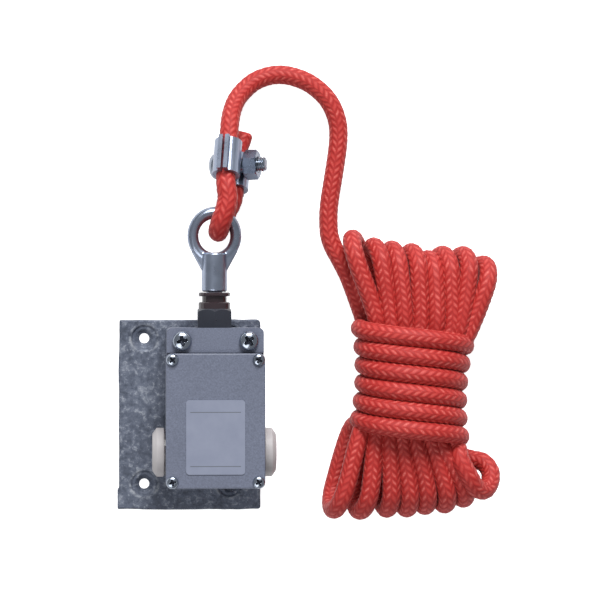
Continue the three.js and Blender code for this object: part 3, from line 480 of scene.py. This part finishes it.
class Nodes:
    """Short names for building one material's node tree."""

    def __init__(self, name):
        self.material = bpy.data.materials.new(name)
        self.material.use_nodes = True
        self.tree = self.material.node_tree
        self.shader = self.tree.nodes["Principled BSDF"]

    def add(self, kind, **inputs):
        node = self.tree.nodes.new(kind)
        for key, value in inputs.items():
            self.feed(node.inputs[key.replace("_", " ")], value)
        return node

    def feed(self, socket, value):
        if isinstance(value, bpy.types.NodeSocket):
            self.tree.links.new(value, socket)
        else:
            socket.default_value = value

    def math(self, operation, a, b=0.0):
        node = self.tree.nodes.new("ShaderNodeMath")
        node.operation = operation
        for socket, value in zip(node.inputs, (a, b)):
            self.feed(socket, value)
        return node.outputs[0]

    def noise(self, scale, detail=4, rough=0.55, distortion=0.0):
        place = self.tree.nodes.new("ShaderNodeTexCoord").outputs["Object"]
        mapping = self.add("ShaderNodeMapping", Vector=place)
        node = self.add(
            "ShaderNodeTexNoise", Vector=mapping.outputs[0], Scale=scale, Detail=detail, Roughness=rough,
            Distortion=distortion,
        )
        return node.outputs["Fac"]

    def cells(self, scale):
        place = self.tree.nodes.new("ShaderNodeTexCoord").outputs["Object"]
        mapping = self.add("ShaderNodeMapping", Vector=place)
        return self.add("ShaderNodeTexVoronoi", Vector=mapping.outputs[0], Scale=scale)

    def ramp(self, value, stops):
        node = self.tree.nodes.new("ShaderNodeValToRGB")
        ramp = node.color_ramp
        while len(ramp.elements) < len(stops):
            ramp.elements.new(0.5)
        for element, (place, colour) in zip(ramp.elements, stops):
            element.position = place
            element.color = (*colour, 1)
        self.feed(node.inputs[0], value)
        return node.outputs[0]

    def spread(self, value, low, high, new_low, new_high):
        node = self.tree.nodes.new("ShaderNodeMapRange")
        for socket, number in zip(node.inputs, (value, low, high, new_low, new_high)):
            self.feed(socket, number)
        return node.outputs[0]

    def blend(self, factor, a, b, mode="MIX"):
        node = self.tree.nodes.new("ShaderNodeMix")
        node.data_type = "RGBA"
        node.blend_type = mode
        for socket, value in ((node.inputs[0], factor), (node.inputs[6], a), (node.inputs[7], b)):
            self.feed(socket, value)
        return node.outputs[2]

    def bump(self, height, strength, distance):
        return self.add("ShaderNodeBump", Height=height, Strength=strength, Distance=distance).outputs[0]

    def finish(self, colour, roughness, normal=None, metallic=0.0, **plain):
        self.feed(self.shader.inputs["Base Color"], colour)
        self.feed(self.shader.inputs["Roughness"], roughness)
        self.feed(self.shader.inputs["Metallic"], metallic)
        if normal is not None:
            self.feed(self.shader.inputs["Normal"], normal)
        for key, value in plain.items():
            self.shader.inputs[key.replace("_", " ")].default_value = value
        return self.material


def rope_material():
    n = Nodes("red_rope")
    uv = n.tree.nodes.new("ShaderNodeUVMap")
    uv.uv_map = "rope"
    parts = n.add("ShaderNodeSeparateXYZ", Vector=uv.outputs[0])
    column = parts.outputs[0]
    plait = n.math("FLOOR", column)
    side = n.math("SUBTRACT", 1, n.math("MULTIPLY", n.math("MODULO", plait, 2), 2))
    across = n.math("SUBTRACT", n.math("FRACT", column), 0.5)
    shift = n.math("MULTIPLY", n.math("SINE", n.math("MULTIPLY", plait, STAGGER_TURN)), STITCH_STAGGER)
    slope = n.math("ADD", shift, n.math("MULTIPLY", n.math("MULTIPLY", across, side), STITCH_SLANT))
    run = n.math("ADD", parts.outputs[1], slope)
    along = n.math("SUBTRACT", n.math("FRACT", run), 0.5)
    wide = n.math("SUBTRACT", 1, n.math("POWER", n.math("ABSOLUTE", n.math("MULTIPLY", across, 2)), 3))
    reach = n.math("ABSOLUTE", n.math("DIVIDE", along, STITCH_WIDTH))
    long = n.math("MAXIMUM", n.math("SUBTRACT", 1, n.math("POWER", reach, 2)), 0.0)
    height = n.math("POWER", n.math("MAXIMUM", n.math("MULTIPLY", wide, long), 0.0), 0.7)
    drift = n.math("SUBTRACT", along, n.math("MULTIPLY", across, side))
    yarn = n.add("ShaderNodeCombineXYZ", X=drift, Y=column)
    fibre = n.add(
        "ShaderNodeTexNoise",
        Vector=n.add("ShaderNodeMapping", Vector=yarn.outputs[0], Scale=(9, 1.5, 1)).outputs[0],
        Scale=1.0, Detail=2.0,
    ).outputs["Fac"]
    patch = n.noise(60, 3)
    stitch = n.add("ShaderNodeCombineXYZ", X=plait, Y=n.math("FLOOR", run))
    luck = n.add("ShaderNodeTexWhiteNoise", Vector=stitch.outputs[0]).outputs["Value"]
    tint = n.blend(n.spread(patch, 0.35, 0.65, 0, 1), ROPE_DEEP, ROPE_RED)
    # Darker between the stitches: painted shade in the braid's hollows.
    body = n.blend(n.spread(height, 0.0, 0.45, 0, 1), ROPE_VALLEY_SHADE, tint)
    crown = n.math("MULTIPLY", n.spread(height, 0.68, 0.97, 0, 1), n.spread(fibre, 0.35, 0.7, 0.2, 0.9))
    crown = n.math("MULTIPLY", crown, n.spread(luck, 0, 1, 0.1, 1.1))
    colour = n.blend(crown, body, ROPE_GLINT)
    surface = n.math("ADD", height, n.math("MULTIPLY", fibre, 0.14))
    return n.finish(
        colour, 0.6, n.bump(surface, 0.4, 0.0005), Sheen_Weight=0.05, Sheen_Roughness=0.4,
        Specular_IOR_Level=0.35,
    )


def zinc_material(name):
    colour, rough = ZINC_FINISHES[name]
    n = Nodes(name)
    cloud = n.noise(55, 5)
    fine = n.noise(900, 3)
    low = tuple(0.78 * c for c in colour)
    tone = n.ramp(cloud, [(0.3, low), (0.62, colour), (0.85, tuple(min(1, 1.2 * c) for c in colour))])
    roughness = n.spread(cloud, 0.3, 0.75, rough[0], rough[1])
    return n.finish(tone, roughness, n.bump(fine, 0.12, 0.0002), metallic=0.95)


def galvanised_material():
    """Weathered hot-dip zinc: dark mottling, pale specks and a chalky bloom round the sunk holes."""
    n = Nodes("galvanised_steel")
    cloud = n.noise(34, 8, 0.6, distortion=0.4)
    mottle = n.noise(330, 7, 0.66, distortion=0.3)
    grain = n.noise(900, 5, 0.7)
    mixed = n.math("ADD", n.math("MULTIPLY", cloud, 0.32), n.math("MULTIPLY", mottle, 0.68))
    tone = n.ramp(mixed, GALVANISED_TONES)
    speck = n.spread(n.math("MULTIPLY", grain, n.spread(mottle, 0.4, 0.6, 0.6, 1.25)), 0.56, 0.74, 0, 0.4)
    tone = n.blend(speck, tone, ZINC_SPECK)
    place = n.add("ShaderNodeSeparateXYZ", Vector=n.tree.nodes.new("ShaderNodeTexCoord").outputs["Object"])
    bloom = 0.0
    for x in PLATE_HOLE_X:
        for y in PLATE_HOLE_Y:
            off_x = n.math("SUBTRACT", place.outputs[0], x * MM)
            off_y = n.math("SUBTRACT", place.outputs[1], y * MM)
            squares = n.math("ADD", n.math("MULTIPLY", off_x, off_x), n.math("MULTIPLY", off_y, off_y))
            gap = n.math("SQRT", squares)
            ring = n.math("SUBTRACT", 1, n.math("MINIMUM", n.math(
                "MULTIPLY", n.math("ABSOLUTE", n.math("SUBTRACT", gap, PLATE_RING * MM)), 900), 1))
            bloom = n.math("ADD", ring, bloom)
    tone = n.blend(n.math("MULTIPLY", bloom, n.spread(mottle, 0.42, 0.6, 0, 0.55)), tone, ZINC_BLOOM)
    height = n.math("ADD", n.math("MULTIPLY", mottle, 1.1), n.math("MULTIPLY", grain, 0.5))
    return n.finish(
        tone, n.spread(mottle, 0.35, 0.65, 0.42, 0.66), n.bump(height, 0.55, 0.0007), metallic=0.3,
        Specular_IOR_Level=0.5,
    )


def casting_material():
    n = Nodes("painted_casting")
    grain = n.noise(1500, 3, 0.6)
    orange = n.cells(620).outputs["Distance"]
    cloud = n.noise(24, 4)
    tone = n.ramp(cloud, [
        (0.3, tuple(0.93 * c for c in PAINT_GREY)), (0.7, tuple(1.07 * c for c in PAINT_GREY)),
    ])
    speck = n.spread(grain, 0.35, 0.68, 0.84, 1.15)
    shade = n.add("ShaderNodeCombineColor", Red=speck, Green=speck, Blue=speck)
    tone = n.blend(1.0, tone, shade.outputs[0], "MULTIPLY")
    height = n.math("ADD", n.math("MULTIPLY", grain, 0.6), n.math("MULTIPLY", orange, 0.6))
    return n.finish(
        tone, n.spread(grain, 0.3, 0.7, 0.4, 0.58), n.bump(height, 0.4, 0.0003), Specular_IOR_Level=0.5,
    )


def moulded_material(name):
    colour, rough = MOULDED_FINISHES[name]
    n = Nodes(name)
    cloud = n.noise(70, 4)
    fine = n.noise(1300, 3)
    tone = n.ramp(cloud, [(0.3, tuple(0.88 * c for c in colour)), (0.7, colour)])
    return n.finish(
        tone, n.spread(cloud, 0.3, 0.7, rough * 0.85, min(1, rough * 1.15)),
        n.bump(fine, 0.1, 0.0002), Specular_IOR_Level=0.5,
    )


def label_material():
    """A bare satin label with two thin generic rules."""
    n = Nodes("label_film")
    low, high = (np.array(corner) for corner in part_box("label_plate"))
    place = n.add("ShaderNodeSeparateXYZ", Vector=n.tree.nodes.new("ShaderNodeTexCoord").outputs["Object"])
    top_rule = high[1] - 0.165 * (high[1] - low[1])
    bottom_rule = low[1] + 0.11 * (high[1] - low[1])
    lines = 0.0
    for y in (top_rule, bottom_rule):
        gap = n.math("ABSOLUTE", n.math("SUBTRACT", place.outputs[1], float(y)))
        lines = n.math("ADD", n.math("LESS_THAN", gap, 0.00022), lines)
    middle = float((low[0] + high[0]) / 2)
    reach = n.math("ABSOLUTE", n.math("SUBTRACT", place.outputs[0], middle))
    inside = n.math("LESS_THAN", reach, float(0.43 * (high[0] - low[0])))
    cloud = n.noise(120, 3)
    tone = n.ramp(cloud, [(0.3, LABEL_GREYS[0]), (0.7, LABEL_GREYS[1])])
    tone = n.blend(n.math("MULTIPLY", n.math("MULTIPLY", lines, inside), 0.75), tone, RULE_GREY)
    return n.finish(tone, 0.42, n.bump(n.noise(1500, 2), 0.08, 0.0001), Specular_IOR_Level=0.5)


def dress(nodes, material):
    for node in nodes:
        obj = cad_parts[node]
        obj.data.materials.clear()
        obj.data.materials.append(material)


def soften(nodes, width):
    """Rounds the edges of CAD nodes with modifiers, and shades their round faces smoothly."""
    for node in nodes:
        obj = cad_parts[node]
        obj.data.polygons.foreach_set("use_smooth", [True] * len(obj.data.polygons))
        bevel = obj.modifiers.new("soft_edges", "BEVEL")
        bevel.width = width * MM
        bevel.segments = 3
        bevel.limit_method = "ANGLE"
        bevel.angle_limit = radians(35)
        bevel.harden_normals = True


def middle(node):
    low, high = (Vector(corner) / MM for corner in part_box(node))
    return low, high, (low + high) / 2


def plate_skin(material):
    """The plate with the soft, slightly wavy edges and lumps that a hot zinc bath leaves."""
    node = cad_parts["mounting_plate"]
    obj = fused("galvanised_plate", [node.data], PLATE_VOXEL, PLATE_EASE)
    high = middle("mounting_plate")[1]
    for vertex in obj.data.vertices:
        p = vertex.co / MM
        edge = max(abs(p.x) / high.x, abs(p.y) / high.y)
        push = noise.noise_vector(Vector((p.x, p.y, 0)) / PLATE_WAVE_LENGTH) * PLATE_WAVE
        push += noise.noise_vector(p / 4) * PLATE_LUMPS
        push.xy *= min(max((edge - PLATE_RIM) / (1 - PLATE_RIM), 0), 1)
        push.z = noise.noise(p / 3.2) * PLATE_LUMPS * 0.6 if p.z > high.z / 2 else 0
        vertex.co = (p + push) * MM
    settle(obj, "base", "galvanised_steel", material, "mounting_plate")


def eye_skin(material):
    """The forged eye: shank, ring and the shoulders between them run into one another."""
    low, _, centre = middle("pull_eye")
    shank_top = low.y + SHANK_LENGTH
    ring_y = shank_top + (RING_RADIUS - WIRE_RADIUS) * RING_STRETCH
    along_y = Matrix.Translation((centre.x, low.y, centre.z)) @ Matrix.Rotation(-pi / 2, 4, "X")
    shank = revolved("shank", [
        (0.01, 0), (SHANK_RADIUS - EYE_BEVEL, 0), (SHANK_RADIUS, EYE_BEVEL),
        (SHANK_RADIUS, SHANK_LENGTH - EYE_BEVEL), (SHANK_RADIUS - EYE_BEVEL, SHANK_LENGTH),
        (0.01, SHANK_LENGTH),
    ], 96, along_y)
    bpy.ops.mesh.primitive_torus_add(
        major_segments=120, minor_segments=40, major_radius=RING_RADIUS * MM, minor_radius=WIRE_RADIUS * MM,
    )
    ring = bpy.context.object
    ring_centre = Vector((centre.x, ring_y, centre.z)) * MM
    ring.data.transform(Matrix.Translation(ring_centre) @ Matrix.Diagonal((1, RING_STRETCH, 1, 1)))
    half = WIRE_RADIUS - WEB_INSET
    outline = [(-SHANK_RADIUS, shank_top - SHOULDER), (SHANK_RADIUS, shank_top - SHOULDER)]
    outline.append((SHOULDER_SPREAD, shank_top + SHOULDER_LAND))
    for step in range(13):
        angle = radians(-25 - 130 * step / 12)
        outline.append((RING_RADIUS * cos(angle), ring_y + RING_RADIUS * RING_STRETCH * sin(angle)))
    outline.append((-SHOULDER_SPREAD, shank_top + SHOULDER_LAND))
    web = bpy.data.meshes.new("web")
    count = len(outline)
    verts = [Vector((centre.x + x, y, centre.z + z)) * MM for z in (-half, half) for x, y in outline]
    faces = [tuple(range(count)), tuple(count + k for k in reversed(range(count)))]
    faces += [(k, count + k, count + (k + 1) % count, (k + 1) % count) for k in range(count)]
    web.from_pydata(verts, [], faces)
    face_outward(web)
    obj = fused("forged_eye", [shank.data, ring.data, web], EYE_VOXEL, EYE_EASE)
    for part in (shank, ring):
        bpy.data.objects.remove(part)
    settle(obj, "pull", "zinc_steel", material, "pull_eye")


def screw_head(node, radius, height, shank, turn, material, shade):
    """A pan head with a cross recess over a plain shank, as high-detail rings."""
    low, high, centre = middle(node)
    seat = high.z - height
    rows = [(0.02, height)]
    for share in (*(k / 26 for k in range(1, 23)), 0.885, 0.925, 0.96, 0.985, 1):
        rim = max((share - CROWN_RIM) / (1 - CROWN_RIM), 0)
        rows.append((radius * share, height * (1 - CROWN_FALL * share ** 2.2 - CROWN_RIM_FALL * rim ** 2)))
    rows += [(radius, height * 0.12), (radius * 0.985, 0), (shank, 0), (shank, low.z - seat)]
    spin = Matrix.Translation((centre.x, centre.y, seat)) @ Matrix.Rotation(radians(turn), 4, "Z")

    def recess(x, y, z):
        if z < height * 0.35 or x * x + y * y > (radius * CROWN_RIM) ** 2:
            return 0
        reach = radius * CROSS_REACH
        arms = []
        for across, along in ((x, y), (y, x)):
            width = radius * (CROSS_WIDTH - CROSS_TAPER * abs(along) / reach)
            side = min(max((width - abs(across)) / (radius * CROSS_SLOPE), 0), 1)
            end = min(max((reach - abs(along)) / (radius * 2 * CROSS_SLOPE), 0), 1)
            arms.append(side * end * (0.55 + 0.45 * (1 - abs(along) / reach)))
        return -height * CROSS_DEPTH * max(arms)

    obj = revolved(f"{node}_head", rows, ROUND_SIDES, spin, recess)
    settle(obj, "base", "zinc_steel", material, node)
    obj.data.materials.append(shade)
    back = spin.inverted()
    for face in obj.data.polygons:
        spot = back @ (face.center / MM)
        if spot.z > 0 and recess(spot.x, spot.y, height) < -height * 0.2:
            face.material_index = 1


def bolt_thread(material):
    """The clip's bolt: a domed head, and a thread that stands out of the nut."""
    turn = clip_matrix().to_4x4()
    place = Matrix.Translation(CLIP_CENTRE) @ turn @ Matrix.Rotation(pi / 2, 4, "Y")
    head = -GROOVE_REACH - 0.3
    rows = [(radius, head - height) for radius, height in BOLT_HEAD]
    rows.append((BOLT_CORE, head))
    steps = 150
    rows += [(BOLT_CORE, head + (BOLT_END - 0.9 - head) * k / steps) for k in range(1, steps + 1)]
    rows += [(BOLT_CORE - 0.5, BOLT_END - 0.4), (BOLT_CORE - 0.9, BOLT_END), (0.02, BOLT_END)]
    obj = revolved("clip_bolt_threaded", rows, 64, Matrix.Identity(4))
    for vertex in obj.data.vertices:
        p = vertex.co / MM
        radius = sqrt(p.x ** 2 + p.y ** 2)
        if GROOVE_REACH + BOLT_THREAD_START < p.z < BOLT_END - 0.6 and radius > BOLT_CORE - 0.2:
            share = (p.z / BOLT_PITCH - atan2(p.y, p.x) / (2 * pi)) % 1
            p.xy *= 1 - BOLT_THREAD_DEPTH * (1 - abs(2 * share - 1)) ** 0.9 / radius
        vertex.co = (place @ p) * MM
    smooth(obj.data, 60)
    return settle(obj, "pull", "zinc_steel", material, "clip_bolt")


def return_spring(material):
    """The return coil: a smooth-shaded copy of the CAD coil in its place. In the switch the coil shortens
    from its seat up as the rod is pulled, with its upper end in the head; this copy keeps one shape.
    """
    coil = linked("return_spring_coil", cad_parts["return_spring"].data.copy())
    coil.data.materials.clear()
    smooth(coil.data, 60)
    settle(coil, "base", "spring_steel", material, "return_spring")
    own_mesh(coil)


def cable_plug(name, node, side, material):
    """A blanking plug whose face looks away from the housing; side is its sign along x."""
    low, high, centre = middle(node)
    outer = high.x if side > 0 else low.x
    place = Matrix.Translation((outer, centre.y, centre.z)) @ Matrix.Rotation(side * pi / 2, 4, "Y")
    radius = (high.y - low.y) / 2
    deep = high.x - low.x
    rows = [*PLUG_FACE, *((radius + inset, height) for inset, height in PLUG_CHAMFER)]
    rows += [(radius, 0.4 - PLUG_FLANGE), (radius - 0.35, -PLUG_FLANGE), (PLUG_SPIGOT, -PLUG_FLANGE)]
    rows += [(PLUG_SPIGOT, -deep), (0.02, -deep)]
    obj = revolved(name, rows, ROUND_SIDES, place)
    settle(obj, "base", "cream_plastic", material, node)


def add_light():
    world = bpy.data.worlds.new("studio")
    world.use_nodes = True
    background = world.node_tree.nodes["Background"]
    background.inputs[0].default_value, background.inputs[1].default_value = SKY
    scene.world = world
    for name, place, size, power in LAMPS:
        data = bpy.data.lights.new(name, "AREA")
        data.energy = power
        data.size = size
        lamp = bpy.data.objects.new(name, data)
        lamp.location = place
        aim = VIEW_CENTRE - lamp.location
        lamp.rotation_euler = aim.to_track_quat("-Z", "Y").to_euler()
        scene.collection.objects.link(lamp)


def add_floor():
    bpy.ops.mesh.primitive_plane_add(size=FLOOR_SIZE, location=(VIEW_CENTRE.x, VIEW_CENTRE.y, -FLOOR_DROP))
    floor = bpy.context.object
    floor.name = "floor"
    n = Nodes("floor_white")
    n.finish(FLOOR_TONE, 0.9)
    path = n.tree.nodes.new("ShaderNodeLightPath")
    seen = n.math("MAXIMUM", path.outputs["Is Camera Ray"], path.outputs["Is Transmission Ray"])
    glow = n.add("ShaderNodeEmission", Color=(1, 1, 1, 1), Strength=n.math("MULTIPLY", seen, FLOOR_GLOW))
    total = n.tree.nodes.new("ShaderNodeAddShader")
    n.tree.links.new(n.shader.outputs[0], total.inputs[0])
    n.tree.links.new(glow.outputs[0], total.inputs[1])
    n.tree.links.new(total.outputs[0], n.tree.nodes["Material Output"].inputs[0])
    floor.data.materials.append(n.material)


def add_rope(bolt):
    path = smooth_path(rope_path(), ROPE_STEP) * MM
    path[:, 2] = np.maximum(path[:, 2], ROPE_DIAMETER / 2 + STITCH_HEIGHT / 2)
    rope = sweep("red_rope", path, ROPE_DIAMETER / 2, ROPE_SIDES)
    rope.data.materials.append(rope_material())
    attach(rope, "pull")
    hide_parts("rope_lead", "rope_hank")


def dress_all():
    zinc, bright, blue, shade, brass = (zinc_material(name) for name in ZINC_FINISHES)
    rubber, black, cream, block = (moulded_material(name) for name in MOULDED_FINISHES)
    dress(["housing_body", "cover"], casting_material())
    dress(["label_plate"], label_material())
    dress(["cover_gasket", "plug_seal_left", "plug_seal_right", "wiper_seal"], rubber)
    dress(["guide_bush", "tappet"], black)
    dress(["contact_bridge", "earth_screw", *(f"terminal_{i}" for i in range(1, 5))], brass)
    dress(["contact_block"], block)
    dress(["pull_rod", "spring_seat", "retaining_ring", "return_spring", "tappet_spring"], zinc)
    return_spring(zinc)
    dress(["clip_plate_right", "clip_plate_left", "lock_washer_1", "lock_washer_2"], zinc)
    dress(["clip_nut"], blue)
    dress(["inner_screw_1", "inner_screw_2", *(f"terminal_screw_{i}" for i in range(1, 5))], bright)
    dress(["mounting_plate", "blanking_plug_left", "blanking_plug_right", "pull_eye", "clip_bolt"], zinc)
    soften(["housing_body"], 0.8)
    soften(["cover"], 0.3)
    soften(["guide_bush"], 0.3)
    for node in ("wiper_seal", "pull_rod", "lock_washer_1", "lock_washer_2"):
        smooth(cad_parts[node].data, 40)
    soften(["clip_plate_right", "clip_plate_left", "clip_nut"], 0.35)
    soften(["label_plate"], 0.1)
    plate_skin(galvanised_material())
    eye_skin(zinc)
    add_rope(bolt_thread(bright))
    for kind, (*sizes, turns) in (("mounting_screw", MOUNTING_SCREWS), ("cover_screw", COVER_SCREWS)):
        for index, turn in enumerate(turns, 1):
            screw_head(f"{kind}_{index}", *sizes, turn, bright, shade)
    cable_plug("plug_left_round", "blanking_plug_left", -1, cream)
    cable_plug("plug_right_round", "blanking_plug_right", 1, cream)


add_camera()
dress_all()
add_floor()
add_light()
scene.view_settings.view_transform = "Standard"
